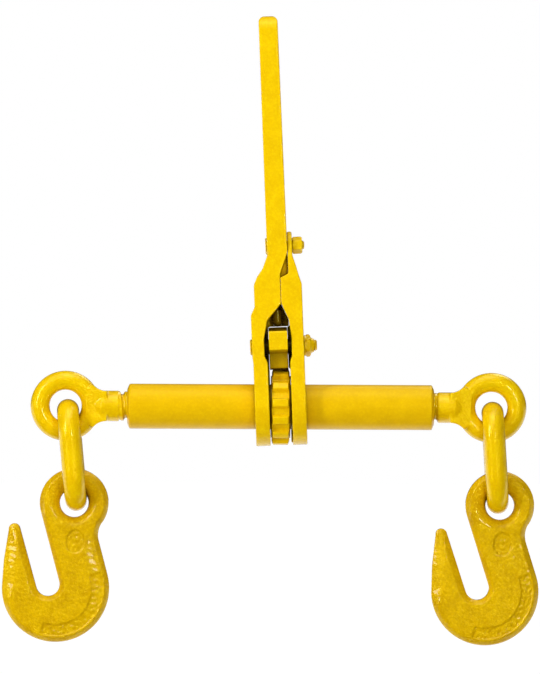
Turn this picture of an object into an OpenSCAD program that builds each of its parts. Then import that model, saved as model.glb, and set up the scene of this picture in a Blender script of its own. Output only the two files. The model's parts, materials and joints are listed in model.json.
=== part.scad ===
// Ratchet load binder for chain: a tapped barrel draws two eye bolts together, a
// reversible ratchet handle turns the barrel, and a grab hook hangs from each end.
// The origin is the centre of the barrel, +X is the line of pull and +Z is up.
// All sizes are in millimetres and all angles in degrees.

/* [Barrel] */
// Length of the barrel
barrel_l = 265.6; // [250:0.2:280]
// Outside diameter of the barrel
barrel_d = 39; // [38:0.1:39.2]
// Length of the tapped section at each end
tapped_l = 17.5; // [14:0.5:22]
// Distance from the barrel's left end to the left eye's centre
left_reach = 53.4; // [50:0.1:70]
// Distance from the barrel's right end to the right eye's centre
right_reach = 49.7; // [49:0.1:70]

/* [Screws] */
// Outside diameter of the screw thread
screw_d = 25.4; // [24:0.1:25.6]
// Pitch of the screw thread
pitch = 6.35; // [5:0.05:7]
// Depth of the screw thread
thread_h = 2.4; // [2:0.1:2.8]
// Length of a screw from the eye's centre to the inner end
screw_l = 179; // [160:1:179]
// Outside radius of an eye
eye_r = 30.4; // [29:0.1:31]
// Radius of the hole through an eye
eye_hole_r = 13.8; // [13.6:0.1:14.5]

/* [Links and hooks] */
// Wire diameter of a link
link_wire_d = 19; // [17:0.5:19]
// Width of the opening in a link
link_inner_w = 24; // [23:0.5:26]
// Length of the opening in a link
link_inner_l = 59.5; // [54:0.5:66]
// Tilt of the left link away from straight down
left_link_tilt = 5.4; // [0:0.1:8]
// Tilt of the right link away from straight down
right_link_tilt = 3.6; // [0:0.1:8]
// Tilt of the right hook away from straight down
right_hook_tilt = 2.5; // [0:0.5:5]
// Thickness of a hook
hook_t = 19; // [16:0.5:20]
// Width of a hook's chain slot
slot_w = 20.4; // [18:0.2:21]

/* [Ratchet] */
// Number of teeth on the ratchet gear
teeth = 13; // [13:1:13]
// Radius over the gear's teeth
gear_r = 33.35; // [33:0.05:33.5]
// Width of the gear
gear_w = 15.4; // [14:0.2:15.4]
// Height of the pawl's pivot above the barrel axis
pivot_z = 52.3; // [52.2:0.05:52.6]

/* [Handle] */
// Height of the handle's end above the barrel axis
handle_h = 338.5; // [300:0.5:380]
// Sideways lean of the handle
handle_lean = 2.4; // [0:0.1:2.5]
// Radius of the round lower end of the two plates
head_r = 33.5; // [32:0.5:36]
// Gap between the two plates
plate_gap = 19.4; // [19.4:0.1:20]
// Height of the clamp bolt above the barrel axis
clamp_z = 139.4; // [138:0.2:141]

/* [Hidden] */
$fn = 72;

// Colours
enamel = [0.98, 0.82, 0.08];
forged_enamel = [0.88, 0.68, 0.05];
bare_steel = [0.62, 0.62, 0.64];
spring_steel = [0.45, 0.45, 0.48];

cut = 1; // how far a cutter runs past the face that it cuts
touch = 0.05; // gap left between faces that are clamped together
joined = 1; // how far one shape of a piece reaches into the next

// Barrel
barrel_r = barrel_d / 2;
barrel_end = barrel_l / 2;
barrel_bevel_l = 2;
barrel_bevel_h = 4.6;
relief_r = screw_d / 2 + 1.7;
tap_lead = 1;
tap_lead_r = screw_d / 2 + 0.8;

// Screw thread: a trapezoid with a flat root and a flat crest
screw_r = screw_d / 2;
thread_root_r = screw_r - thread_h;
thread_root_w = 0.35 * pitch;
thread_flank_w = 0.12 * pitch;
thread_steps = 24;
thread_gap_r = 0.3;
thread_gap_x = 0.25;
thread_start = 45.8; // distance from the eye's centre to the first thread
thread_phase = 4.7; // places a groove of the thread next to the barrel's end
run_out = 2.5;
run_out_step = 0.6;

// Inner end of a screw, where a pinned collar keeps it from leaving the barrel
spigot_l = 10;
spigot_r = 8;
collar_l = 5;
collar_r = screw_r + 1.1;
stop_pin_r = 1.6;
stop_pin_gap = 0.6;

// Eye of a screw
shank_r = screw_r + 0.6;
eye_tube_r = (eye_r - eye_hole_r) / 2;
eye_mid_r = (eye_r + eye_hole_r) / 2;
shank_start = 24;
shank_start_r = 9;
shank_full = 31;
neck_fillet_r = 16;
neck_sink = 0.3; // keeps the fillet from only just touching the eye and the shank
neck_z = shank_r + neck_fillet_r - neck_sink;
neck_x = sqrt((eye_r + neck_fillet_r - neck_sink) ^ 2 - neck_z ^ 2);
neck_angle = atan2(neck_z, neck_x);
neck_half = [7.2, 12.5]; // half-thickness of the fillet at its two ends

left_eye_x = -barrel_end - left_reach;
right_eye_x = barrel_end + right_reach;

// Links
wire_r = link_wire_d / 2;
bend_r = link_inner_w / 2 + wire_r;
link_straight = link_inner_l - link_inner_w;
rest_gap = 0.15; // a piece hangs this far off the metal that carries it
link_drop = eye_hole_r - wire_r - rest_gap; // from the eye's centre to the wire's centre
link_span = link_straight + 2 * bend_r; // from the upper wire's centre to the lower one's
left_link_rest = 30; // where a link bears on its eye, to the right of straight down
right_link_rest = 14;

// Hooks, from the centre of the hook's eye
hook_eye_r = 29.8;
hook_hole_r = 12.3;
hook_drop = hook_hole_r - wire_r - rest_gap; // from the wire's centre to the hole's centre
left_hook_rest = -35; // where the hole lies from the wire, to the right of straight down
right_hook_rest = 41;
hook_bowl = [-15.8, -74];
hook_bowl_r = 46.5;
slot_centre = [-22.5, -70.6];
slot_r = slot_w / 2;
slot_tilt = 15.1;
slot_across = [cos(slot_tilt), sin(slot_tilt)];
hook_tip = [-51.6, -22.9];
hook_tip_r = 5;
arm_bulge = [-60.7, -50];
neck_cut = [40.8, -28.1];
neck_cut_r = 20;

// Gear
tooth_pitch = 360 / teeth;
gear_root_r = gear_r - 4.8;
tooth_tip_w = 6;
tooth_root_w = 8.4;
tooth_bevel_x = 1.2;
tooth_bevel_r = 3.6;

// Washers between the gear and the plates
washer_t = 0.8;
washer_gap = 0.05;
washer_hole_r = barrel_r + 0.1;
washer_r = 26.8;

// Handle plates, seen from the front
plate_in = plate_gap / 2;
left_out = 22.2;
left_boss_out = 22.9;
left_crown_out = 19.4;
right_out = 22.2;
plate_hole_r = barrel_r + 1.25;
boss_z = [38, 44, 80, 87];
chamber_z = [39, 44, 59.4, 75];
left_chamber = [12.2, 8.9];
right_chamber = [11.5, 9.9];
seam_x = 3.8;
seam_gap = 0.1;
apex_z = 89.5;
crown_z = [106, 113, 120, 131];
split_z = [115, 133];

// Webs of the lever that close the pocket over the pawl and the gap beside the tab
pocket_web_z = 69.55;
pocket_web_y = [6.2, 8.2];
gap_web_half = 9;

// Ribs on the plates' inner faces, behind the pivot, that keep dirt off the gear and the pawl
rib_y = [7.2, 9.4];
rib_x = [8.3, 13.2];
rib_low = 31;

// Handle bar
bar_left = -6.9;
bar_right = 10.7;
bar_foot_z = 152;
bar_end_left = -6.9;
bar_end_right = 9.6;
bar_end_round = 5;
bar_depth = 28;
bar_end_depth = 25;
neck_side_z = [52, 100, 135, 165];
neck_side_w = [27, 19.5, 14.5, 14];
bar_recess_z = [176, 318];
bar_recess_r = 7.5;
bar_web_half = 4.6;

// Tab of the cheek plate beside the bar
tab_in = bar_right + seam_gap;
tab_out = 15;
tab_top = 151.5;
tab_r = 11;

// Bolts
clamp_r = 4;
clamp_hole_r = clamp_r + 0.15;
clamp_head_r = 7.5;
clamp_head_t = 1.2;
clamp_end_x = 25.6;
clamp_nut_w = 13;
clamp_nut_t = 8.8;
pivot_r = 5;
pivot_hole_r = pivot_r + 0.1;
pivot_head_r = 7;
pivot_head_t = 1.6;
pivot_end_x = 33.5;
pivot_nut_w = 17;
pivot_nut_flange = 1.2;
pivot_nut_flange_r = 8.9;
pivot_nut_sink = 0.3; // how far the hexagon starts inside the flange
nut_face_inset = 0.15; // how far a nut's round end faces stay inside its flats
pivot_nut_hex = 4.6;
pivot_nut_collar = 3;
bolt_bevel = 1;
sleeve_r = 6.6;

// Pawl, from the centre of its pivot
pawl_w = 16.2;
pawl_bore_r = sleeve_r + 0.15;
crown_r = 17;
ear_reach = 30;
ear_low = -2.7;
ear_top = 13.6;
ear_round = 2;
tip_reach = 24.5;
tip_spread = 35;
tip_half_w = 2.3;
tip_slope = 1.5;
leg_low = 12;
leg_inner = [9.4, -16.2];
leg_root = [15.5, -6];
rock = 18;

// Detent: a spring-loaded plunger that bears on the pawl's crown
plunger_r = 4.6;
plunger_gap = 0.15;
plunger_z = pivot_z + crown_r + plunger_gap;
plunger_l = 14;
plunger_stem_r = 2.4;
plunger_stem_l = 7;
plunger_drop = 0.7;
notch_r = plunger_r + plunger_gap;
pocket_r = 5.1;
pocket_top = 108;
spring_wire_r = 0.7;
spring_coil_r = 3.8;
spring_turns = 8;
spring_steps = 16;
spring_sides = 8;

// ---------- helpers ----------

// Extrudes a drawing of the XZ plane along Y, evenly to both sides.
module from_front(depth) rotate([90, 0, 0]) linear_extrude(depth, center = true) children();

// Extrudes a drawing of the YZ plane along X, evenly to both sides.
module from_side(width) rotate([90, 0, 90]) linear_extrude(width, center = true) children();

// A cylinder along X between two places.
module rod_x(r, x_from, x_to)
    translate([x_from, 0, 0]) rotate([0, 90, 0]) cylinder(r = r, h = x_to - x_from);

// A solid of revolution about X, drawn as [radius, place along X].
module turned_x(outline) rotate([0, 90, 0]) rotate_extrude() polygon(outline);

// Leans the handle's parts about the barrel's centre.
module leaned() rotate([0, -handle_lean, 0]) children();

// A hexagon with two of its flats facing front and back.
module hexagon(across_flats) rotate(30) circle(d = across_flats / cos(30), $fn = 6);

function on_circle(r, angle) = [r * cos(angle), r * sin(angle)];

// Points along an arc, with both of its ends.
function arc(centre, r, from, to, steps = 12) =
    [for (i = [0 : steps]) centre + on_circle(r, from + (to - from) * i / steps)];

// An outline's points mirrored to the other side of the vertical axis, in reverse order.
function other_side(points) =
    [for (i = [len(points) - 1 : -1 : 0]) [-points[i][0], points[i][1]]];

// ---------- screw thread ----------

// One turn of the thread's outline, as [place along the axis, radius].
function thread_outline(gap_r, gap_x) = [
    [gap_x, thread_root_r + gap_r],
    [thread_root_w - gap_x, thread_root_r + gap_r],
    [thread_root_w + thread_flank_w - gap_x, screw_r + gap_r],
    [pitch - thread_flank_w + gap_x, screw_r + gap_r]
];

function thread_point(outline, step, corner) = let (
    angle = 360 * step / thread_steps,
    along = pitch * step / thread_steps + outline[corner][0]
) [outline[corner][1] * cos(angle), outline[corner][1] * sin(angle), along];

// A right-hand screw along +Z with closed ends, a whole number of turns long.
module thread_core(turns, gap_r, gap_x) {
    outline = thread_outline(gap_r, gap_x);
    corners = len(outline);
    steps = turns * thread_steps;
    side = [
        for (step = [0 : steps], corner = [0 : corners - 1])
            thread_point(outline, step, corner)
    ];
    rim = [for (step = [steps + 1 : steps + thread_steps]) thread_point(outline, step, 0)];
    foot = [[0, 0, outline[0][0]]];
    head = [[0, 0, outline[0][0] + pitch * (turns + 1)]];
    function at(step, corner) = corner == corners
        ? at(step + thread_steps, 0)
        : step <= steps ? step * corners + corner : (steps + 1) * corners + step - steps - 1;
    foot_at = len(side) + len(rim);
    head_at = foot_at + 1;
    walls = [
        for (step = [0 : steps - 1], corner = [0 : corners - 1], half = [0, 1])
            half == 0
                ? [at(step, corner), at(step, corner + 1), at(step + 1, corner)]
                : [at(step + 1, corner), at(step, corner + 1), at(step + 1, corner + 1)]
    ];
    foot_caps = concat(
        [for (step = [0 : thread_steps - 1]) [foot_at, at(step, 0), at(step + 1, 0)]],
        [for (corner = [0 : corners - 1]) [foot_at, at(0, corner + 1), at(0, corner)]]
    );
    head_caps = concat(
        [
            for (step = [steps : steps + thread_steps - 1])
                [head_at, at(step + 1, 0), at(step, 0)]
        ],
        [for (corner = [0 : corners - 1]) [head_at, at(steps, corner), at(steps, corner + 1)]]
    );
    polyhedron(concat(side, rim, foot, head), concat(walls, foot_caps, head_caps));
}

// The thread along X between two places, in step with every other thread at its end.
module thread_x(x_from, x_to, gap_r = 0, gap_x = 0) {
    turns_back = ceil(-x_from / pitch) + 2;
    turns = ceil((x_to - x_from) / pitch) + 2;
    intersection() {
        translate([thread_phase - turns_back * pitch, 0, 0])
            rotate([0, 90, 0]) thread_core(turns, gap_r, gap_x);
        rod_x(screw_r + gap_r + cut, x_from, x_to);
    }
}

// ---------- screws ----------

// The eye and its neck, centred on the eye, with the shank along +X.
module eye_and_neck() {
    rotate([90, 0, 0]) rotate_extrude()
        translate([eye_mid_r, 0]) circle(r = eye_tube_r);
    neck_edge = concat(
        [on_circle(eye_mid_r, neck_angle)],
        arc([neck_x, neck_z], neck_fillet_r, 180 + neck_angle, 270)
    );
    intersection() {
        from_front(2 * eye_r) polygon(concat(neck_edge, [
            for (i = [len(neck_edge) - 1 : -1 : 0]) [neck_edge[i][0], -neck_edge[i][1]]
        ]));
        linear_extrude(2 * eye_r, center = true) polygon([
            [eye_hole_r, -neck_half[0]], [neck_x + joined, -neck_half[1]],
            [neck_x + joined, neck_half[1]], [eye_hole_r, neck_half[0]]
        ]);
    }
    turned_x([
        [0, shank_start], [shank_start_r, shank_start],
        [shank_r, shank_full], [shank_r, thread_start],
        [thread_root_r - run_out_step, thread_start + run_out],
        [0, thread_start + run_out]
    ]);
}

// A screw in the left end's place; the right one is its mirror image.
module eye_bolt(eye_x) {
    inner_end = eye_x + screw_l;
    thread_end = inner_end - spigot_l;
    difference() {
        union() {
            translate([eye_x, 0, 0]) eye_and_neck();
            thread_x(eye_x + thread_start - joined, thread_end);
            rod_x(spigot_r, thread_end - joined, inner_end);
        }
        stop_pin_hole(eye_x);
    }
}

function collar_mid(eye_x) = eye_x + screw_l - collar_l / 2;

module stop_pin_hole(eye_x)
    translate([collar_mid(eye_x), 0, 0]) cylinder(r = stop_pin_r, h = 4 * collar_r, center = true);

module stop_collar(eye_x)
    difference() {
        rod_x(collar_r, eye_x + screw_l - collar_l, eye_x + screw_l);
        rod_x(spigot_r, eye_x + screw_l - collar_l - cut, eye_x + screw_l + cut);
        stop_pin_hole(eye_x);
    }

module stop_pin(eye_x)
    translate([collar_mid(eye_x), 0, 0])
        cylinder(r = stop_pin_r, h = 2 * (collar_r - stop_pin_gap), center = true);

module right_side() mirror([1, 0, 0]) children();

module left_eye_bolt() color(enamel) eye_bolt(left_eye_x);
module left_stop_collar() color(bare_steel) stop_collar(left_eye_x);
module left_stop_pin() color(spring_steel) stop_pin(left_eye_x);
module right_eye_bolt() color(enamel) right_side() eye_bolt(-right_eye_x);
module right_stop_collar() color(bare_steel) right_side() stop_collar(-right_eye_x);
module right_stop_pin() color(spring_steel) right_side() stop_pin(-right_eye_x);

// ---------- links and hooks ----------

// An oval ring in the YZ plane, hanging down with its upper wire's centre at the origin.
module link() {
    translate([0, 0, -bend_r]) {
        for (bend = [0, 1])
            translate([0, 0, -bend * link_straight])
                rotate([90, 180 * bend, 90]) rotate_extrude(angle = 180)
                    translate([bend_r, 0]) circle(r = wire_r);
        for (side = [-1, 1])
            translate([0, side * bend_r, -link_straight]) cylinder(r = wire_r, h = link_straight);
    }
}

// Outline of a hook, drawn from the centre of its eye with its tip to the left.
module hook_outline() {
    neck_angle = atan2(neck_cut[1], neck_cut[0]);
    difference() {
        polygon(concat(
            arc(hook_tip, hook_tip_r, slot_tilt, 180 + slot_tilt / 2),
            [arm_bulge],
            arc(hook_bowl, hook_bowl_r, 180, 360 + slot_tilt, 40),
            arc(neck_cut, neck_cut_r, 180 + slot_tilt, 180 + neck_angle),
            arc([0, 0], hook_eye_r, neck_angle, 180 + slot_tilt, 40),
            [slot_centre + slot_r * slot_across, slot_centre - slot_r * slot_across]
        ));
        translate(slot_centre) circle(r = slot_r);
    }
}

// A hook hanging with its eye centred on the origin.
module hook() {
    difference() {
        from_front(hook_t) hook_outline();
        rotate([90, 0, 0]) rotate_extrude() difference() {
            translate([0, -hook_t / 2 - cut]) square([hook_hole_r + hook_t / 2, hook_t + 2 * cut]);
            translate([hook_hole_r + hook_t / 2, 0]) circle(r = hook_t / 2);
        }
    }
}

// Moves a piece by a distance at an angle to the right of straight down.
module hung(distance, angle)
    translate([distance * sin(angle), 0, -distance * cos(angle)]) children();

module left_link()
    color(enamel) translate([left_eye_x, 0, 0]) hung(link_drop, left_link_rest)
        rotate([0, -left_link_tilt, 0]) link();

module right_link()
    color(enamel) translate([right_eye_x, 0, 0]) hung(link_drop, right_link_rest)
        rotate([0, -right_link_tilt, 0]) link();

module left_hook()
    color(forged_enamel) translate([left_eye_x, 0, 0]) hung(link_drop, left_link_rest)
        hung(link_span, left_link_tilt) hung(hook_drop, left_hook_rest) hook();

module right_hook()
    color(forged_enamel) translate([right_eye_x, 0, 0]) hung(link_drop, right_link_rest)
        hung(link_span, right_link_tilt) hung(hook_drop, right_hook_rest)
            rotate([0, -right_hook_tilt, 0]) hook();

// ---------- barrel and gear ----------

module barrel_tube()
    color(enamel) difference() {
        turned_x([
            [0, -barrel_end], [barrel_r - barrel_bevel_h, -barrel_end],
            [barrel_r, -barrel_end + barrel_bevel_l], [barrel_r, barrel_end - barrel_bevel_l],
            [barrel_r - barrel_bevel_h, barrel_end], [0, barrel_end]
        ]);
        rod_x(relief_r, -barrel_end + tapped_l, barrel_end - tapped_l);
        for (side = [0, 1]) mirror([side, 0, 0]) {
            thread_x(-barrel_end - cut, -barrel_end + tapped_l + cut, thread_gap_r, thread_gap_x);
            rod_x(tap_lead_r, -barrel_end - cut, -barrel_end + tap_lead);
        }
    }

// One tooth after another around the gear, as seen along the barrel.
function tooth_points() = [
    for (tooth = [0 : teeth - 1], corner = [
        [-tooth_root_w, gear_root_r], [-tooth_tip_w, gear_r + cut],
        [tooth_tip_w, gear_r + cut], [tooth_root_w, gear_root_r]
    ])
        on_circle(
            norm([corner[0] / 2, corner[1]]),
            90 + tooth * tooth_pitch + atan2(corner[0] / 2, corner[1])
        )
];

module ratchet_gear()
    color(enamel) difference() {
        intersection() {
            from_side(gear_w) polygon(tooth_points());
            turned_x([
                [0, -gear_w / 2], [gear_r - tooth_bevel_r, -gear_w / 2],
                [gear_r, -gear_w / 2 + tooth_bevel_x], [gear_r, gear_w / 2 - tooth_bevel_x],
                [gear_r - tooth_bevel_r, gear_w / 2], [0, gear_w / 2]
            ]);
        }
        rod_x(barrel_r, -gear_w, gear_w);
    }

module thrust_washers()
    color(enamel) for (side = [-1, 1])
        translate([side * (gear_w / 2 + washer_gap + washer_t / 2), 0, 0]) difference() {
            rod_x(washer_r, -washer_t / 2, washer_t / 2);
            rod_x(washer_hole_r, -washer_t, washer_t);
        }

// ---------- handle ----------

// Right-hand edge of both plates' side, from the round lower end up to the bar.
neck_side = [for (i = [0 : len(neck_side_z) - 1]) [neck_side_w[i], neck_side_z[i]]];

head_round = arc([0, 0], head_r, 180, 360, 36);

// Side of the lever: the head, and the bar up to its rounded end.
module lever_side() {
    end_r = bar_end_depth / 2;
    edge = concat(neck_side, arc([0, handle_h - end_r], end_r, 0, 90));
    polygon(concat(head_round, edge, other_side(edge)));
}

// Side of the cheek plate: the head below and the rounded tab above.
module cheek_side() {
    edge = concat(
        [for (point = neck_side) if (point[1] < crown_z[3]) point],
        [[neck_side_w[2], crown_z[3]]],
        arc([0, tab_top - tab_r], tab_r, 0, 90)
    );
    polygon(concat(head_round, edge, other_side(edge)));
}

// Front of the lever: the left plate, the crown over the pawl and the bar.
module lever_front() {
    round_z = handle_h - bar_end_round;
    polygon(concat(
        [
            [-left_out, -head_r], [-left_out, boss_z[0]], [-left_boss_out, boss_z[1]],
            [-left_boss_out, boss_z[2]], [-left_crown_out, boss_z[3]],
            [-left_crown_out, crown_z[0]], [-left_crown_out + 3, crown_z[1]],
            [bar_left - 4.4, crown_z[2]], [bar_left, crown_z[3]], [bar_left, bar_foot_z]
        ],
        arc([bar_end_left + bar_end_round, round_z], bar_end_round, 180, 90),
        arc([bar_end_right - bar_end_round, round_z], bar_end_round, 90, 0),
        [
            [bar_right, bar_foot_z], [bar_right, split_z[1]],
            [seam_x - seam_gap / 2, split_z[0]], [seam_x - seam_gap / 2, apex_z],
            [-left_chamber[1], chamber_z[3]], [-left_chamber[0], chamber_z[2]],
            [-left_chamber[0], chamber_z[1]], [-plate_in, chamber_z[0]], [-plate_in, -head_r]
        ]
    ));
}

// Front of the cheek plate: the right plate and the tab beside the bar.
module cheek_front()
    polygon([
        [right_out, -head_r], [right_out, crown_z[0]], [right_out - 2.2, crown_z[1]],
        [right_out - 4, crown_z[2]], [tab_out, crown_z[3]], [tab_out, tab_top],
        [tab_in, tab_top], [tab_in, split_z[0]], [seam_x + seam_gap / 2, split_z[0] - 3],
        [seam_x + seam_gap / 2, apex_z], [right_chamber[1], chamber_z[3]],
        [right_chamber[0], chamber_z[2]], [right_chamber[0], chamber_z[1]],
        [plate_in, chamber_z[0]], [plate_in, -head_r]
    ]);

// Holes that run through both halves of the handle.
module handle_bores() {
    rod_x(plate_hole_r, -2 * left_out, 2 * right_out);
    translate([0, 0, pivot_z]) rod_x(pivot_hole_r, -2 * left_out, 2 * right_out);
    translate([0, 0, clamp_z]) rod_x(clamp_hole_r, -2 * left_out, 2 * right_out);
    translate([0, 0, apex_z - 20]) cylinder(r = pocket_r, h = pocket_top - apex_z + 20);
}

// Long shallow recess in one side of the bar, outside x and away from the bar's middle.
module bar_recess(side) {
    web_x = (bar_left + bar_right) / 2 + side * bar_web_half;
    translate([web_x + side * bar_depth / 2, 0, 0]) from_side(bar_depth) polygon(concat(
        arc([0, bar_recess_z[0]], bar_recess_r, 180, 360),
        arc([0, bar_recess_z[1]], bar_recess_r, 0, 180)
    ));
}

// Wall behind the plunger, from the left plate to just short of the cheek plate.
module pocket_web()
    translate([0, (pocket_web_y[0] + pocket_web_y[1]) / 2, 0])
        from_front(pocket_web_y[1] - pocket_web_y[0]) polygon([
            [-left_chamber[0] - joined, pocket_web_z], [right_chamber[1] - touch, pocket_web_z],
            [right_chamber[1] - touch, chamber_z[3]], [seam_x - touch, apex_z],
            [seam_x - touch, apex_z + joined], [-left_chamber[0] - joined, apex_z]
        ]);

// Rib on the left (-1) or right (1) plate, between two heights.
module plate_rib(side, z_from, z_to)
    translate([0, (rib_y[0] + rib_y[1]) / 2, 0]) from_front(rib_y[1] - rib_y[0]) polygon([
        [side * rib_x[0], z_from], [side * rib_x[0], z_to],
        [side * rib_x[1], z_to], [side * rib_x[1], z_from]
    ]);

// Wall between the lever's slope and the tab.
module gap_web()
    from_front(2 * gap_web_half) polygon([
        [seam_x - 2 * joined, split_z[0]], [seam_x, split_z[0] - 3 + 2 * touch],
        [tab_in - touch, split_z[0] + touch], [tab_in - touch, split_z[1] - joined],
        [bar_right - 3, split_z[1]], [seam_x - 2 * joined, split_z[0] + 5]
    ]);

module lever()
    color(enamel) leaned() difference() {
        union() {
            intersection() {
                from_front(2 * head_r + cut) lever_front();
                from_side(4 * left_out) lever_side();
            }
            pocket_web();
            gap_web();
            plate_rib(-1, barrel_r, pocket_web_z + joined);
        }
        handle_bores();
        for (side = [-1, 1]) bar_recess(side);
    }

module cheek_plate()
    color(enamel) leaned() difference() {
        union() {
            intersection() {
                from_front(2 * head_r + cut) cheek_front();
                from_side(4 * right_out) cheek_side();
            }
            plate_rib(1, -rib_low, -barrel_r);
            plate_rib(1, gear_r + touch, pocket_web_z - touch);
        }
        handle_bores();
    }

// A hexagonal solid along X between two places.
module hex_x(across_flats, x_from, x_to)
    translate([(x_from + x_to) / 2, 0, 0]) from_side(x_to - x_from) hexagon(across_flats);

// A headed bolt along X, with its head on the left and a bevelled end on the right.
module bolt_x(r, head_r, head_t, seat_x, end_x)
    turned_x([
        [0, seat_x - head_t], [head_r - bolt_bevel, seat_x - head_t],
        [head_r, seat_x - head_t + bolt_bevel], [head_r, seat_x], [r, seat_x],
        [r, end_x - bolt_bevel], [r - bolt_bevel, end_x], [0, end_x]
    ]);

clamp_seat = bar_left - touch;
clamp_nut_seat = tab_out + touch;
pivot_seat = -left_boss_out - touch;
pivot_nut_seat = right_out + touch;

module clamp_bolt()
    color(enamel) leaned() translate([0, 0, clamp_z])
        bolt_x(clamp_r, clamp_head_r, clamp_head_t, clamp_seat, clamp_end_x);

module clamp_nut()
    color(enamel) leaned() translate([0, 0, clamp_z]) difference() {
        intersection() {
            hex_x(clamp_nut_w, clamp_nut_seat, clamp_nut_seat + clamp_nut_t);
            nut_bevel(clamp_nut_w, clamp_nut_seat, clamp_nut_seat + clamp_nut_t);
        }
        rod_x(clamp_r, clamp_nut_seat - cut, clamp_end_x + cut);
    }

// A turned blank that bevels a nut's corners at both ends.
module nut_bevel(across_flats, x_from, x_to) {
    corner_r = across_flats / 2 / cos(30) + touch;
    face_r = across_flats / 2 - nut_face_inset;
    rotate([15, 0, 0]) turned_x([
        [0, x_from], [face_r, x_from], [corner_r, x_from + corner_r - face_r],
        [corner_r, x_to - corner_r + face_r], [face_r, x_to], [0, x_to]
    ]);
}

module pivot_bolt()
    color(enamel) leaned() translate([0, 0, pivot_z])
        bolt_x(pivot_r, pivot_head_r, pivot_head_t, pivot_seat, pivot_end_x);

module pivot_nut()
    color(enamel) leaned() translate([0, 0, pivot_z]) {
        hex_from = pivot_nut_seat + pivot_nut_flange;
        hex_to = hex_from + pivot_nut_hex;
        flat_r = pivot_nut_w / 2;
        difference() {
            union() {
                rod_x(pivot_nut_flange_r, pivot_nut_seat, hex_from);
                intersection() {
                    hex_x(pivot_nut_w, hex_from - pivot_nut_sink, hex_to);
                    nut_bevel(pivot_nut_w, hex_from - pivot_nut_sink, hex_to);
                }
                turned_x([
                    [0, hex_to - joined], [flat_r - 1.5, hex_to - joined], [flat_r - 1.5, hex_to],
                    [flat_r - 3, hex_to + pivot_nut_collar], [0, hex_to + pivot_nut_collar]
                ]);
            }
            rod_x(pivot_r, pivot_nut_seat - cut, pivot_end_x + cut);
        }
    }

module pivot_sleeve()
    color(enamel) leaned() translate([0, 0, pivot_z]) difference() {
        rod_x(sleeve_r, -left_chamber[0] + touch, right_chamber[0] - touch);
        rod_x(pivot_r + touch, -left_out, right_out);
    }

// ---------- pawl and detent ----------

// Outline of the pawl in the YZ plane, drawn from its pivot.
module pawl_outline() {
    tip = on_circle(tip_reach, tip_spread - 90);
    edge = concat(
        [
            [0, -leg_low], leg_inner, tip - [tip_half_w, 0],
            tip + [tip_half_w, tip_slope], leg_root, [ear_reach, ear_low]
        ],
        arc([ear_reach - ear_round, ear_top - ear_round], ear_round, 0, 90, 6),
        arc([0, 0], crown_r, asin(ear_top / crown_r), 90)
    );
    difference() {
        polygon(concat(edge, other_side(edge)));
        circle(r = pawl_bore_r);
        for (angle = [-rock, 0, rock])
            rotate(angle) translate([0, crown_r + plunger_gap + plunger_r - plunger_drop])
                circle(r = notch_r);
    }
}

module pawl()
    color(enamel) leaned() translate([0, 0, pivot_z]) from_side(pawl_w) pawl_outline();

module detent_plunger()
    color(enamel) leaned() translate([0, 0, plunger_z]) {
        translate([0, 0, plunger_r]) sphere(r = plunger_r);
        translate([0, 0, plunger_r]) cylinder(r = plunger_r, h = plunger_l - plunger_r);
        translate([0, 0, plunger_l]) cylinder(r = plunger_stem_r, h = plunger_stem_l);
    }

// A coil along Z with closed ends.
module coil(height) {
    steps = spring_turns * spring_steps;
    function coil_point(step, spoke) = let (
        turn = 360 * step / spring_steps,
        around = 360 * spoke / spring_sides,
        r = spring_coil_r + spring_wire_r * cos(around)
    ) [r * cos(turn), r * sin(turn), height * step / steps + spring_wire_r * sin(around)];
    points = [
        for (step = [0 : steps], spoke = [0 : spring_sides - 1]) coil_point(step, spoke)
    ];
    function at(step, spoke) = step * spring_sides + spoke % spring_sides;
    walls = [
        for (step = [0 : steps - 1], spoke = [0 : spring_sides - 1], half = [0, 1])
            half == 0
                ? [at(step, spoke), at(step, spoke + 1), at(step + 1, spoke)]
                : [at(step + 1, spoke), at(step, spoke + 1), at(step + 1, spoke + 1)]
    ];
    first_cap = [for (spoke = [spring_sides - 1 : -1 : 0]) at(0, spoke)];
    last_cap = [for (spoke = [0 : spring_sides - 1]) at(steps, spoke)];
    polyhedron(points, concat(walls, [first_cap], [last_cap]));
}

module detent_spring() {
    spring_low = plunger_z + plunger_l + spring_wire_r + plunger_gap;
    spring_high = pocket_top - spring_wire_r - plunger_gap;
    color(spring_steel) leaned() translate([0, 0, spring_low]) coil(spring_high - spring_low);
}

left_eye_bolt();
left_stop_collar();
left_stop_pin();
left_link();
left_hook();
barrel_tube();
ratchet_gear();
thrust_washers();
lever();
cheek_plate();
clamp_bolt();
clamp_nut();
pivot_bolt();
pivot_nut();
pivot_sleeve();
pawl();
detent_plunger();
detent_spring();
right_eye_bolt();
right_stop_collar();
right_stop_pin();
right_link();
right_hook();
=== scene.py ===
"""Looks of a ratchet load binder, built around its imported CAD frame."""

import json
import math

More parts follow.
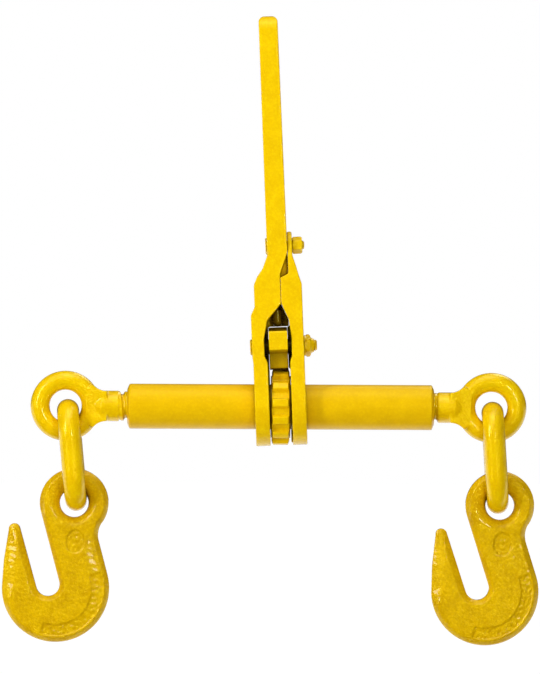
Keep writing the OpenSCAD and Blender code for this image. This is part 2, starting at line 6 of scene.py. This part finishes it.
import bmesh
import bpy
import numpy as np
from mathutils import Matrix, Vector


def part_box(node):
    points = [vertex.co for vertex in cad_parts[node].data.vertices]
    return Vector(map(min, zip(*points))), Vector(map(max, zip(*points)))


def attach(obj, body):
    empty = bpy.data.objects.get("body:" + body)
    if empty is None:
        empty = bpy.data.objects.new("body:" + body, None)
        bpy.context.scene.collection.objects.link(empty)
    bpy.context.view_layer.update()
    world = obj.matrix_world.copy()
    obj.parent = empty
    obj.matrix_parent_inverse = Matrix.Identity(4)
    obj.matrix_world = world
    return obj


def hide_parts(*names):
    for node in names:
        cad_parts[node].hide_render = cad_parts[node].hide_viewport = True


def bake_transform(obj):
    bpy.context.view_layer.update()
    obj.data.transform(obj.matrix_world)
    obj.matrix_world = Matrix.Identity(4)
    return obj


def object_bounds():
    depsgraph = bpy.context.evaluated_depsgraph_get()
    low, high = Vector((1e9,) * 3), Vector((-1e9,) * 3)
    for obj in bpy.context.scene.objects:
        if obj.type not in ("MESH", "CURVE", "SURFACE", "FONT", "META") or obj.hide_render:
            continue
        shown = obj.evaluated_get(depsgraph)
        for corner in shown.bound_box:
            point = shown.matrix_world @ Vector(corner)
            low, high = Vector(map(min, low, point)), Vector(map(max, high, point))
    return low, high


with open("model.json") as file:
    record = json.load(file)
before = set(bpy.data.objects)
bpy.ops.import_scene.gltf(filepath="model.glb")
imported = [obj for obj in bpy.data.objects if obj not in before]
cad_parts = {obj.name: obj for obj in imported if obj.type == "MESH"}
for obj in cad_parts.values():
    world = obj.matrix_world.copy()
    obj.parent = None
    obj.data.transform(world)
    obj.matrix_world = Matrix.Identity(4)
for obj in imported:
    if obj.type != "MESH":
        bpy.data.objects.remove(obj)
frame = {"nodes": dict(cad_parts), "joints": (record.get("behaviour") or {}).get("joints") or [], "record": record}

MM = 0.001
CAD_BOX = [list(corner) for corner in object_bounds()]
BODY_OF = {
    node: body
    for body, nodes in frame["record"]["behaviour"]["bodies"].items()
    for node in nodes
}
JOINTS = {joint["name"]: joint for joint in frame["joints"]}
SLOTS = {part["node"]: part["material_slot"] for part in frame["record"]["subparts"]}
SIDES = ("left", "right")
BLACK = (0, 0, 0, 1)
WHITE = (1, 1, 1, 1)


# ---------- materials ----------

def node_maker(tree):
    """A short way to add a shader node, set its inputs and link others into it."""
    def add(kind, links=(), **inputs):
        node = tree.nodes.new(kind)
        for key, value in inputs.items():
            if hasattr(node, key):
                setattr(node, key, value)
            else:
                node.inputs[key.replace("_", " ")].default_value = value
        for name, socket in dict(links).items():
            tree.links.new(socket, node.inputs[name])
        return node
    return add


def grey(level):
    return (level, level, level, 1)


def ramp(add, source, low, high, low_color, high_color):
    """A colour ramp between two places of a value."""
    node = add("ShaderNodeValToRGB", {"Fac": source})
    first, last = node.color_ramp.elements
    first.position, last.position = low, high
    first.color, last.color = low_color, high_color
    return node.outputs["Color"]


def mix(add, factor, first, second):
    """Mixes two colours, each a socket or a plain colour."""
    node = add("ShaderNodeMix", data_type="RGBA")
    tree = node.id_data
    for index, value in ((0, factor), (6, first), (7, second)):
        if isinstance(value, bpy.types.NodeSocket):
            tree.links.new(value, node.inputs[index])
        else:
            node.inputs[index].default_value = value
    return node.outputs[2]


def noise(add, place, size, detail=3.0, roughness=0.5):
    """Noise whose features are about size metres across."""
    node = add(
        "ShaderNodeTexNoise", {"Vector": place}, Scale=1.0 / size, Detail=detail,
        Roughness=roughness,
    )
    return node.outputs["Fac"]


def enamel(name, base, deep, pale, pits, gloss, spec=0.5, coat=0.12, grain=1.1 * MM, cavity=None,
           cavity_shade_color=(0.5, 0.3, 0.001, 1), open_at=0.42):
    """Glossy enamel over forged or turned steel: runs of colour, orange peel, cast pits, and painted shade in
    hollows and at grazing angles.

    Cavity is how far to look for surfaces that shut out light, for a wider painted shade in
    recesses, and open_at is the share of open sky from which that painted shade stops.
    sky from which the enamel is no longer darkened.
    """
    material = bpy.data.materials.new(name)
    material.use_nodes = True
    tree = material.node_tree
    tree.nodes.clear()
    add = node_maker(tree)
    place = add("ShaderNodeTexCoord").outputs["Object"]

    pooled = noise(add, place, 14 * MM, 4, 0.6)
    mottled = noise(add, place, 2.2 * MM, 5, 0.7)
    color = mix(add, ramp(add, pooled, 0.35, 0.68, BLACK, grey(0.8)), base, deep)
    color = mix(add, ramp(add, mottled, 0.5, 0.7, BLACK, grey(0.6)), color, pale)
    color = mix(add, ramp(add, mottled, 0.3, 0.5, grey(0.5), BLACK), color, deep)

    # Painted shade: the enamel turns a dull brown-amber wherever ambient occlusion finds surfaces within 4 mm, as
    # in creases and between parts.
    hollow = add("ShaderNodeAmbientOcclusion", samples=6, Distance=4 * MM).outputs["AO"]
    shade = ramp(add, hollow, 0.1, 0.8, WHITE, BLACK)
    hollow_shade_color = (deep[0] * 0.42, deep[1] * 0.34, deep[2] * 0.3, 1)
    color = mix(add, shade, color, hollow_shade_color)
    # Painted shade in deep recesses: a second, wider ambient occlusion paints the enamel towards the given cavity
    # colour.
    if cavity:
        deeper = add("ShaderNodeAmbientOcclusion", samples=8, Distance=cavity).outputs["AO"]
        shade = ramp(add, deeper, 0.1, open_at, WHITE, BLACK)
        color = mix(add, shade, color, cavity_shade_color)
    # Painted shade at the silhouette: the enamel turns dark olive where the surface turns away from the camera.
    facing = add("ShaderNodeLayerWeight", Blend=0.5).outputs["Facing"]
    grazing_shade = ramp(add, facing, 0.72, 1.0, BLACK, grey(0.75))
    color = mix(add, grazing_shade, color, (deep[0] * 0.4, deep[1] * 0.5, 0.0005, 1))

    peel = noise(add, place, 1.7 * MM, 2, 0.4)
    pit = noise(add, place, grain, 3, 0.6)
    swell = noise(add, place, 9 * MM, 2, 0.5)
    bump = add("ShaderNodeBump", {"Height": peel}, Strength=0.25, Distance=0.3 * MM)
    bump = add(
        "ShaderNodeBump", {"Height": pit, "Normal": bump.outputs[0]},
        Strength=pits, Distance=0.5 * grain,
    )
    bump = add(
        "ShaderNodeBump", {"Height": swell, "Normal": bump.outputs[0]},
        Strength=0.35, Distance=0.9 * MM,
    )
    rough = add("ShaderNodeMapRange", {"Value": mottled}, To_Min=gloss, To_Max=gloss + 0.12)
    shader = add(
        "ShaderNodeBsdfPrincipled",
        {"Base Color": color, "Roughness": rough.outputs[0], "Normal": bump.outputs[0]},
        Specular_Tint=(1.0, 0.84, 0.06, 1), Coat_Weight=coat, Coat_Roughness=0.04,
        Specular_IOR_Level=spec,
    )
    add("ShaderNodeOutputMaterial", {"Surface": shader.outputs[0]})
    return material


def steel(name, tone, roughness, scratch):
    """Bare machined steel with fine turning marks and a film of oil."""
    material = bpy.data.materials.new(name)
    material.use_nodes = True
    tree = material.node_tree
    tree.nodes.clear()
    add = node_maker(tree)
    place = add("ShaderNodeTexCoord").outputs["Object"]
    blotch = noise(add, place, 5 * MM, 4, 0.6)
    dark = tuple(0.45 * channel for channel in tone[:3]) + (1,)
    color = mix(add, ramp(add, blotch, 0.4, 0.75, BLACK, grey(0.7)), tone, dark)
    stretch = add("ShaderNodeMapping", {"Vector": place}, vector_type="POINT")
    stretch.inputs["Scale"].default_value = (9, 1, 1)
    marks = noise(add, stretch.outputs[0], 1.2 * MM, 4, 0.7)
    bump = add("ShaderNodeBump", {"Height": marks}, Strength=scratch, Distance=0.1 * MM)
    rough = add("ShaderNodeMapRange", {"Value": blotch}, To_Min=roughness, To_Max=roughness + 0.2)
    shader = add(
        "ShaderNodeBsdfPrincipled",
        {"Base Color": color, "Roughness": rough.outputs[0], "Normal": bump.outputs[0]},
        Metallic=1.0,
    )
    add("ShaderNodeOutputMaterial", {"Surface": shader.outputs[0]})
    return material


BRIGHT = dict(base=(0.95, 0.62, 0.001, 1), deep=(0.85, 0.5, 0.0005, 1), pale=(1.0, 0.74, 0.004, 1))
FORGED = dict(base=(0.82, 0.49, 0.001, 1), deep=(0.6, 0.32, 0.0005, 1), pale=(0.97, 0.68, 0.004, 1))
TURNED = dict(base=(0.88, 0.53, 0.001, 1), deep=(0.8, 0.46, 0.0005, 1), pale=(0.94, 0.62, 0.003, 1))
PAINT = {
    "turned": enamel("enamel_turned", **TURNED, pits=0.12, gloss=0.28, coat=0.02),
    "smooth": enamel("enamel_smooth", **BRIGHT, pits=0.5, gloss=0.07, spec=0.9, coat=0.3,
                     grain=1.8 * MM),
    # The plate and hidden enamels carry painted shade in deep recesses; the hidden one is painted nearly black
    # there.
    "plate": enamel("enamel_plate", **BRIGHT, pits=0.25, gloss=0.18, cavity=34 * MM),
    "hidden": enamel("enamel_hidden", **BRIGHT, pits=0.25, gloss=0.18, cavity=25 * MM,
                     cavity_shade_color=(0.1, 0.06, 0.001, 1), open_at=0.85),
    "forged": enamel("enamel_forged", **FORGED, pits=0.7, gloss=0.07, spec=0.9, coat=0.3,
                     grain=2.4 * MM),
}
STEEL = steel("steel_machined", (0.52, 0.52, 0.53, 1), 0.25, 0.3)
SPRING = steel("steel_spring", (0.3, 0.3, 0.32, 1), 0.3, 0.15)


# ---------- mesh tools ----------

SAME_POINT = 0.002 * MM       # vertices closer than this are one


def set_material(piece, material):
    piece.data.materials.clear()
    piece.data.materials.append(material)


def smooth_shading(piece):
    piece.data.polygons.foreach_set("use_smooth", [True] * len(piece.data.polygons))


def new_piece(name, mesh, body, material, slot, *nodes):
    """Links a finished mesh as a piece that rides on a body and stands for CAD nodes."""
    piece = bpy.data.objects.new(name, mesh)
    bpy.context.scene.collection.objects.link(piece)
    smooth_shading(piece)
    set_material(piece, material)
    if nodes:
        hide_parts(*nodes)
    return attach(piece, body) if body else piece


def coordinates(mesh):
    co = np.zeros(len(mesh.vertices) * 3, np.float64)
    mesh.vertices.foreach_get("co", co)
    return co.reshape(-1, 3)


def put_coordinates(mesh, co):
    mesh.vertices.foreach_set("co", np.asarray(co, np.float32).ravel())
    mesh.update()


def reskinned(source, voxel, passes):
    """A copy of a mesh rebuilt from small even quads, with its edges rounded off."""
    mesh = source.copy()
    mesh.materials.clear()
    work = bpy.data.objects.new("work", mesh)
    bpy.context.scene.collection.objects.link(work)
    weld = work.modifiers.new("weld", "WELD")
    weld.merge_threshold = SAME_POINT
    skin = work.modifiers.new("skin", "REMESH")
    skin.mode = "VOXEL"
    skin.voxel_size = voxel
    soft = work.modifiers.new("soft", "SMOOTH")
    soft.iterations = passes
    soft.factor = 0.5
    depsgraph = bpy.context.evaluated_depsgraph_get()
    result = bpy.data.meshes.new_from_object(work.evaluated_get(depsgraph))
    bpy.data.objects.remove(work)
    bpy.data.meshes.remove(mesh)
    return result


def forging(node, name, voxel, passes, paint, shape=None):
    """Replaces a CAD node with its own shape reskinned, optionally reworked by a function."""
    mesh = reskinned(frame["nodes"][node].data, voxel, passes)
    if shape:
        put_coordinates(mesh, shape(coordinates(mesh)))
    return new_piece(name, mesh, BODY_OF[node], PAINT[paint], SLOTS[node], node)


def grid_mesh(name, rings):
    """A closed mesh from rings of points, capped at both ends."""
    rings = np.asarray(rings, float)
    count, around = rings.shape[:2]
    points = rings.reshape(-1, 3)
    faces = []
    for i in range(count - 1):
        here, there = i * around, (i + 1) * around
        for j in range(around):
            k = (j + 1) % around
            faces.append((here + j, here + k, there + k, there + j))
    middles = [rings[0].mean(0), rings[-1].mean(0)]
    first, last = len(points), len(points) + 1
    points = np.vstack([points, middles])
    end = (count - 1) * around
    for j in range(around):
        k = (j + 1) % around
        faces.append((first, k, j))
        faces.append((last, end + j, end + k))
    mesh = bpy.data.meshes.new(name)
    mesh.from_pydata([tuple(p) for p in points], [], faces)
    mesh.update()
    return mesh


def outward(mesh):
    """Turns a closed mesh's faces outward."""
    work = bmesh.new()
    work.from_mesh(mesh)
    bmesh.ops.recalc_face_normals(work, faces=work.faces)
    work.to_mesh(mesh)
    work.free()
    mesh.update()
    return mesh


# ---------- directions of the leaning handle ----------

UP = np.array(JOINTS["plunger_slide"]["axis"])
ACROSS = np.array(JOINTS["pawl_rock"]["axis"])
PIVOT = np.array(JOINTS["pawl_rock"]["pos_m"])


def about_axis(co, origin, axis):
    """Splits points into their place along an axis, and their arm away from it."""
    place = (co - origin) @ axis
    arm = co - origin - np.outer(place, axis)
    return place, arm


def ease(value, low, high):
    """0 below low and 1 above high, with a smooth rise between."""
    t = np.clip((value - low) / (high - low), 0, 1)
    return t * t * (3 - 2 * t)


def wander(co, size, seed, octaves=2):
    """Smooth pseudo-random value for each point, from about -1 to 1."""
    rng = np.random.default_rng(seed)
    total = np.zeros(len(co))
    for octave in range(octaves):
        for _ in range(5):
            wave = rng.normal(size=3)
            wave *= 2 * math.pi * 2 ** octave / size / np.linalg.norm(wave)
            total += np.sin(co @ wave + rng.uniform(0, 2 * math.pi)) / 5 ** 0.5 / 2 ** octave
    return total / 1.5


# ---------- hooks ----------

HOOK_EDGE_HALF = 5.2 * MM     # half-thickness left at the outline
HOOK_BEVEL = 4.4 * MM         # width of the bevel inside the outline
ARM_BEVEL = 11 * MM           # the same on the outside of the arm
SLOT_BEVEL = 6 * MM           # the same on the slot's side of the arm
CROWN_WIDTH = 15 * MM         # how far the back of the hook falls away towards its outline
CROWN_FALL = 1.4 * MM
EYE_RIM = 24 * MM             # edges nearer to the eye's centre than this belong to its hole
# Places below are measured from the eye's centre, with the hook hanging as the left one does.
SLOT_AT = np.array([-22.5, -70.6]) * MM
SLOT_HALF = 10.8 * MM
SLOT_L = 60 * MM
SLOT_TILT = math.radians(15.1)
PAD_AT = np.array([1.2, -33.5]) * MM
PAD_HALF = np.array([8.4, 10.6]) * MM
PAD_DEPTH = 1.3 * MM
BOWL_AT = np.array([-15.8, -74.0]) * MM
BAND_R = (31 * MM, 41.5 * MM)
BAND_TURN = (-110, 22)        # degrees around the bowl
BAND_END = 4                  # degrees over which the band's ends rise
BAND_DEPTH = 1.1 * MM
CAST_ROUGHNESS = 0.35 * MM    # unevenness of the recessed floors
CAST_GRAIN = 3.4 * MM
SKIN_ROUGHNESS = 0.1 * MM     # unevenness of the whole hook


def outline_segments(mesh, centre):
    """Edges of the front face's outer outline, as pairs of (x, z) points."""
    work = bmesh.new()
    work.from_mesh(mesh)
    bmesh.ops.remove_doubles(work, verts=work.verts, dist=SAME_POINT)
    front = min(vert.co.y for vert in work.verts)
    flat = {
        face for face in work.faces
        if face.normal.y < -0.99 and abs(face.calc_center_median().y - front) < 0.01 * MM
    }
    pairs = []
    for edge in work.edges:
        if sum(face in flat for face in edge.link_faces) != 1:
            continue
        ends = [np.array([vert.co.x, vert.co.z]) - centre for vert in edge.verts]
        if max(np.linalg.norm(end) for end in ends) > EYE_RIM:
            pairs.append(ends)
    work.free()
    return np.array(pairs)


def distance_to(points, pairs):
    """Distance from each point to the nearest of some segments."""
    nearest = np.full(len(points), 1.0)
    for start, end in pairs:
        along = end - start
        share = np.clip((points - start) @ along / max(along @ along, 1e-12), 0, 1)
        gap = np.linalg.norm(points - start - share[:, None] * along, axis=1)
        nearest = np.minimum(nearest, gap)
    return nearest


def hook_shaper(node, eye, tilt):
    """A function that turns the plain plate of a hook into a forging with bevels and recesses."""
    centre = np.array([eye[0], eye[2]])
    pairs = outline_segments(frame["nodes"][node].data, centre)
    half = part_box(node)[1].y
    turn = math.radians(tilt)

    def upright(flat):
        return np.stack([
            flat[:, 0] * math.cos(turn) - flat[:, 1] * math.sin(turn),
            flat[:, 0] * math.sin(turn) + flat[:, 1] * math.cos(turn),
        ], axis=1)

    from_slot = upright(pairs.mean(1)) - SLOT_AT
    off_line = np.abs(from_slot @ (math.cos(SLOT_TILT), math.sin(SLOT_TILT)))
    up_line = from_slot @ (-math.sin(SLOT_TILT), math.cos(SLOT_TILT))
    in_slot = (off_line < SLOT_HALF) & (up_line > -SLOT_HALF) & (up_line < SLOT_L)

    def shape(co):
        flat = co[:, [0, 2]] - centre
        local = upright(flat)
        arm = ease(-local[:, 0], 24 * MM, 34 * MM) * ease(local[:, 1], -92 * MM, -66 * MM)
        thick = np.full(len(co), half)
        for side_pairs, wide in ((pairs[~in_slot], ARM_BEVEL), (pairs[in_slot], SLOT_BEVEL)):
            bevel = HOOK_BEVEL + (wide - HOOK_BEVEL) * arm
            share = np.clip(distance_to(flat, side_pairs) / bevel, 0, 1)
            rise = 1 - (1 - share) ** 1.15
            thick = np.minimum(thick, HOOK_EDGE_HALF + (half - HOOK_EDGE_HALF) * rise)
        crown = 1 - ease(distance_to(flat, pairs[~in_slot]), HOOK_BEVEL, CROWN_WIDTH)
        below_eye = ease(-local[:, 1], 18 * MM, 30 * MM)
        thick = thick - CROWN_FALL * crown * below_eye * ease(local[:, 0], -4 * MM, 8 * MM)

        pad = np.linalg.norm((local - PAD_AT) / PAD_HALF, axis=1)
        pad = 1 - ease(pad, 0.9, 1.0)

        arc = local - BOWL_AT
        radius = np.linalg.norm(arc, axis=1)
        turned = np.degrees(np.arctan2(arc[:, 1], arc[:, 0]))
        band = (
            ease(radius, BAND_R[0], BAND_R[0] + MM) * (1 - ease(radius, BAND_R[1] - MM, BAND_R[1]))
            * ease(turned, BAND_TURN[0], BAND_TURN[0] + BAND_END)
            * (1 - ease(turned, BAND_TURN[1] - BAND_END, BAND_TURN[1]))
        )
        thick = thick - PAD_DEPTH * pad - BAND_DEPTH * band
        thick = thick + (pad + band) * CAST_ROUGHNESS * wander(co, CAST_GRAIN, 11, 1)
        skin = 1.5 + wander(co, 16 * MM, 7) + 0.5 * wander(co, 5 * MM, 3, 1)
        thick = thick - SKIN_ROUGHNESS * skin
        out = co.copy()
        out[:, 1] = co[:, 1] * thick / half
        return out

    return shape


throat = {mount["name"]: np.array(mount["pos_m"]) for mount in frame["record"]["mounts"]}
throat_turn = {}
for side in SIDES:
    eye = np.array(JOINTS[f"{side}_hook_swing"]["pos_m"])
    arm = throat[f"{side}_hook_throat"] - eye
    throat_turn[side] = math.degrees(math.atan2(arm[2], arm[0]))
for side in SIDES:
    tilt = throat_turn["left"] - throat_turn[side]
    eye = JOINTS[f"{side}_hook_swing"]["pos_m"]
    forging(
        f"{side}_hook", f"{side}_grab_hook", 0.7 * MM, 2, "forged",
        hook_shaper(f"{side}_hook", eye, tilt),
    )


# ---------- eye bolts, links and barrel ----------

for side in SIDES:
    forging(f"{side}_eye_bolt", f"{side}_eye_screw", 0.6 * MM, 3, "smooth")
    forging(f"{side}_link", f"{side}_oval_link", 0.8 * MM, 4, "smooth")
forging("barrel_tube", "barrel", 0.8 * MM, 2, "turned")
forging("ratchet_gear", "gear", 0.5 * MM, 3, "plate")


# ---------- handle ----------

forging("lever", "lever_forging", 0.8 * MM, 2, "plate")
forging("cheek_plate", "cheek_forging", 0.8 * MM, 2, "plate")
# The pawl's enamel paints near-black shade into its recesses.
forging("pawl", "pawl_forging", 0.5 * MM, 2, "hidden")


def threaded_end(nut, origin, pitch, depth):
    """A function that cuts a thread into a bolt's free end, from its nut outwards."""
    nut_co = coordinates(frame["nodes"][nut].data)
    nut_end = ((nut_co - origin) @ ACROSS).max()
    side = np.cross(UP, ACROSS)

    def shape(co):
        place, arm = about_axis(co, origin, ACROSS)
        angle = np.arctan2(arm @ UP, arm @ side)
        wave = 0.5 + 0.5 * np.cos(2 * math.pi * place / pitch - angle)
        cut = depth * wave * ease(place, nut_end - pitch, nut_end)
        reach = np.maximum(np.linalg.norm(arm, axis=1), 1e-9)
        keep = np.where(reach > 3 * depth, 1 - cut / reach, 1)
        return origin + np.outer(place, ACROSS) + arm * keep[:, None]
    return shape


def node_middle(node):
    low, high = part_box(node)
    return np.array((low + high) / 2)


clamp_origin = node_middle("clamp_bolt")
forging("pivot_bolt", "pivot_screw", 0.3 * MM, 2, "smooth",
        threaded_end("pivot_nut", PIVOT, 1.5 * MM, 0.6 * MM))
forging("clamp_bolt", "clamp_screw", 0.3 * MM, 3, "smooth",
        threaded_end("clamp_nut", clamp_origin, 1.25 * MM, 0.5 * MM))
forging("pivot_nut", "pivot_lock_nut", 0.3 * MM, 2, "smooth")
forging("clamp_nut", "clamp_lock_nut", 0.3 * MM, 2, "smooth")


# ---------- machined pieces that keep their CAD shape ----------

# These take the enamel that paints near-black shade into their recesses.
for node in ("thrust_washers", "pivot_sleeve", "detent_plunger"):
    set_material(frame["nodes"][node], PAINT["hidden"])
for node in ("left_stop_collar", "right_stop_collar"):
    set_material(frame["nodes"][node], STEEL)
for node in ("left_stop_pin", "right_stop_pin"):
    set_material(frame["nodes"][node], SPRING)


# ---------- detent spring ----------

def detent_spring():
    """A fine coil in the place of the CAD spring, which follows the plunger at its lower end."""
    co = coordinates(frame["nodes"]["detent_spring"].data)
    place, arm = about_axis(co, np.zeros(3), UP)
    wire = 0.7 * MM
    coil_r = np.linalg.norm(arm, axis=1).max() - wire
    low, high = place.min() + wire, place.max() - wire
    turns, steps, spokes = 8, 40, 12
    side = np.cross(UP, ACROSS)
    rings = []
    for step in range(turns * steps + 1):
        turn = 2 * math.pi * step / steps
        outward_dir = math.cos(turn) * ACROSS + math.sin(turn) * side
        middle = outward_dir * coil_r + UP * (low + (high - low) * step / (turns * steps))
        spoke = np.linspace(0, 2 * math.pi, spokes, endpoint=False)
        rings.append(middle + wire * (
            np.outer(np.cos(spoke), outward_dir) + np.outer(np.sin(spoke), UP)))
    mesh = outward(grid_mesh("detent_coil", rings))
    piece = new_piece("detent_coil", mesh, None, SPRING, "spring_steel", "detent_spring")
    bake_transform(piece)


detent_spring()


# ---------- floor, light and camera ----------

# The handle swings all the way down, so the floor lies below its reach.
FLOOR_Z = -CAD_BOX[1][2] - 12 * MM


def camera_sees(add, seen, otherwise, kind):
    """A shader that is one thing for the camera and another for all other rays."""
    share = add("ShaderNodeLightPath").outputs["Is Camera Ray"]
    return add(kind, {0: share, 1: otherwise, 2: seen})


def floor_material():
    """Pale matt floor, evened out for the camera; in reflections it is painted black in front of the object and
    glowing behind it.
    """
    material = bpy.data.materials.new("studio_floor")
    material.use_nodes = True
    tree = material.node_tree
    tree.nodes.clear()
    add = node_maker(tree)
    matt = add("ShaderNodeBsdfDiffuse", Color=(0.8, 0.8, 0.79, 1))
    glow = add("ShaderNodeEmission", Color=WHITE, Strength=1.05)
    even = add("ShaderNodeMixShader", {1: matt.outputs[0], 2: glow.outputs[0]}, Fac=0.97)
    # Painted reflection: glossy rays see the floor black in front of the object and glowing behind it.
    spot = add("ShaderNodeNewGeometry").outputs["Position"]
    place = add("ShaderNodeSeparateXYZ", {"Vector": spot})
    behind = ramp(add, place.outputs["Y"], 0.0, 0.05, BLACK, WHITE)
    lit = add("ShaderNodeEmission", {"Color": behind}, Strength=1.4)
    glossy = add("ShaderNodeLightPath").outputs["Is Glossy Ray"]
    other = add("ShaderNodeMixShader", {0: glossy, 1: matt.outputs[0], 2: lit.outputs[0]})
    shader = camera_sees(add, even.outputs[0], other.outputs[0], "ShaderNodeMixShader")
    add("ShaderNodeOutputMaterial", {"Surface": shader.outputs[0]})
    return material


def studio_world():
    """White to the camera, and a dimmer room for the light and the reflections."""
    world = bpy.data.worlds.new("studio")
    world.use_nodes = True
    tree = world.node_tree
    tree.nodes.clear()
    add = node_maker(tree)
    room = add("ShaderNodeBackground", Color=WHITE, Strength=0.2)
    dim = add("ShaderNodeBackground", Color=WHITE, Strength=0.03)
    white = add("ShaderNodeBackground", Color=WHITE, Strength=1.0)
    glossy = add("ShaderNodeLightPath").outputs["Is Glossy Ray"]
    lit = add("ShaderNodeMixShader", {0: glossy, 1: room.outputs[0], 2: dim.outputs[0]})
    shader = camera_sees(add, white.outputs[0], lit.outputs[0], "ShaderNodeMixShader")
    add("ShaderNodeOutputWorld", {"Surface": shader.outputs[0]})
    return world


def softbox(name, azimuth, elevation, distance, wide, high, power):
    """A light panel aimed at the object. Azimuth 0 is the camera's side and 90 its right."""
    turn, rise = math.radians(azimuth), math.radians(elevation)
    at = distance * Vector((
        math.sin(turn) * math.cos(rise), -math.cos(turn) * math.cos(rise), math.sin(rise)))
    lamp = bpy.data.lights.new(name, "AREA")
    lamp.energy = power
    lamp.shape = "RECTANGLE"
    lamp.size, lamp.size_y = wide, high
    holder = bpy.data.objects.new(name, lamp)
    bpy.context.scene.collection.objects.link(holder)
    holder.location = at
    holder.rotation_euler = (-at).to_track_quat("-Z", "Y").to_euler()


def studio():
    bpy.ops.mesh.primitive_plane_add(size=40, location=(0, 0, FLOOR_Z))
    floor = bpy.context.object
    floor.name = "floor"
    set_material(floor, floor_material())
    bpy.context.scene.world = studio_world()
    softbox("key", -25, 52, 2.6, 2.4, 2.4, 22)
    softbox("front", 17, 9, 2.4, 0.26, 0.6, 11)
    softbox("left", -47, 16, 2.0, 0.3, 1.1, 15)
    softbox("top", 10, 76, 1.8, 1.2, 1.2, 8)
    softbox("back", 150, 50, 2.2, 1.0, 1.0, 10)


CAMERA_FAR = 9.0
CAMERA_X, CAMERA_Z = -9.5 * MM, 60.5 * MM
CAMERA_ROLL = math.radians(-0.3)
FRAME_HEIGHT = 583.7 * MM     # of the picture, at the object
SENSOR = 36.0


def camera():
    lens = bpy.data.cameras.new("camera")
    lens.sensor_width = SENSOR
    lens.lens = SENSOR * CAMERA_FAR / FRAME_HEIGHT
    lens.clip_end = 100
    holder = bpy.data.objects.new("camera", lens)
    bpy.context.scene.collection.objects.link(holder)
    holder.location = (CAMERA_X, -CAMERA_FAR, CAMERA_Z)
    holder.rotation_euler = (math.radians(90), CAMERA_ROLL, 0)
    bpy.context.scene.camera = holder


studio()
camera()
bpy.context.scene.view_settings.view_transform = "Standard"
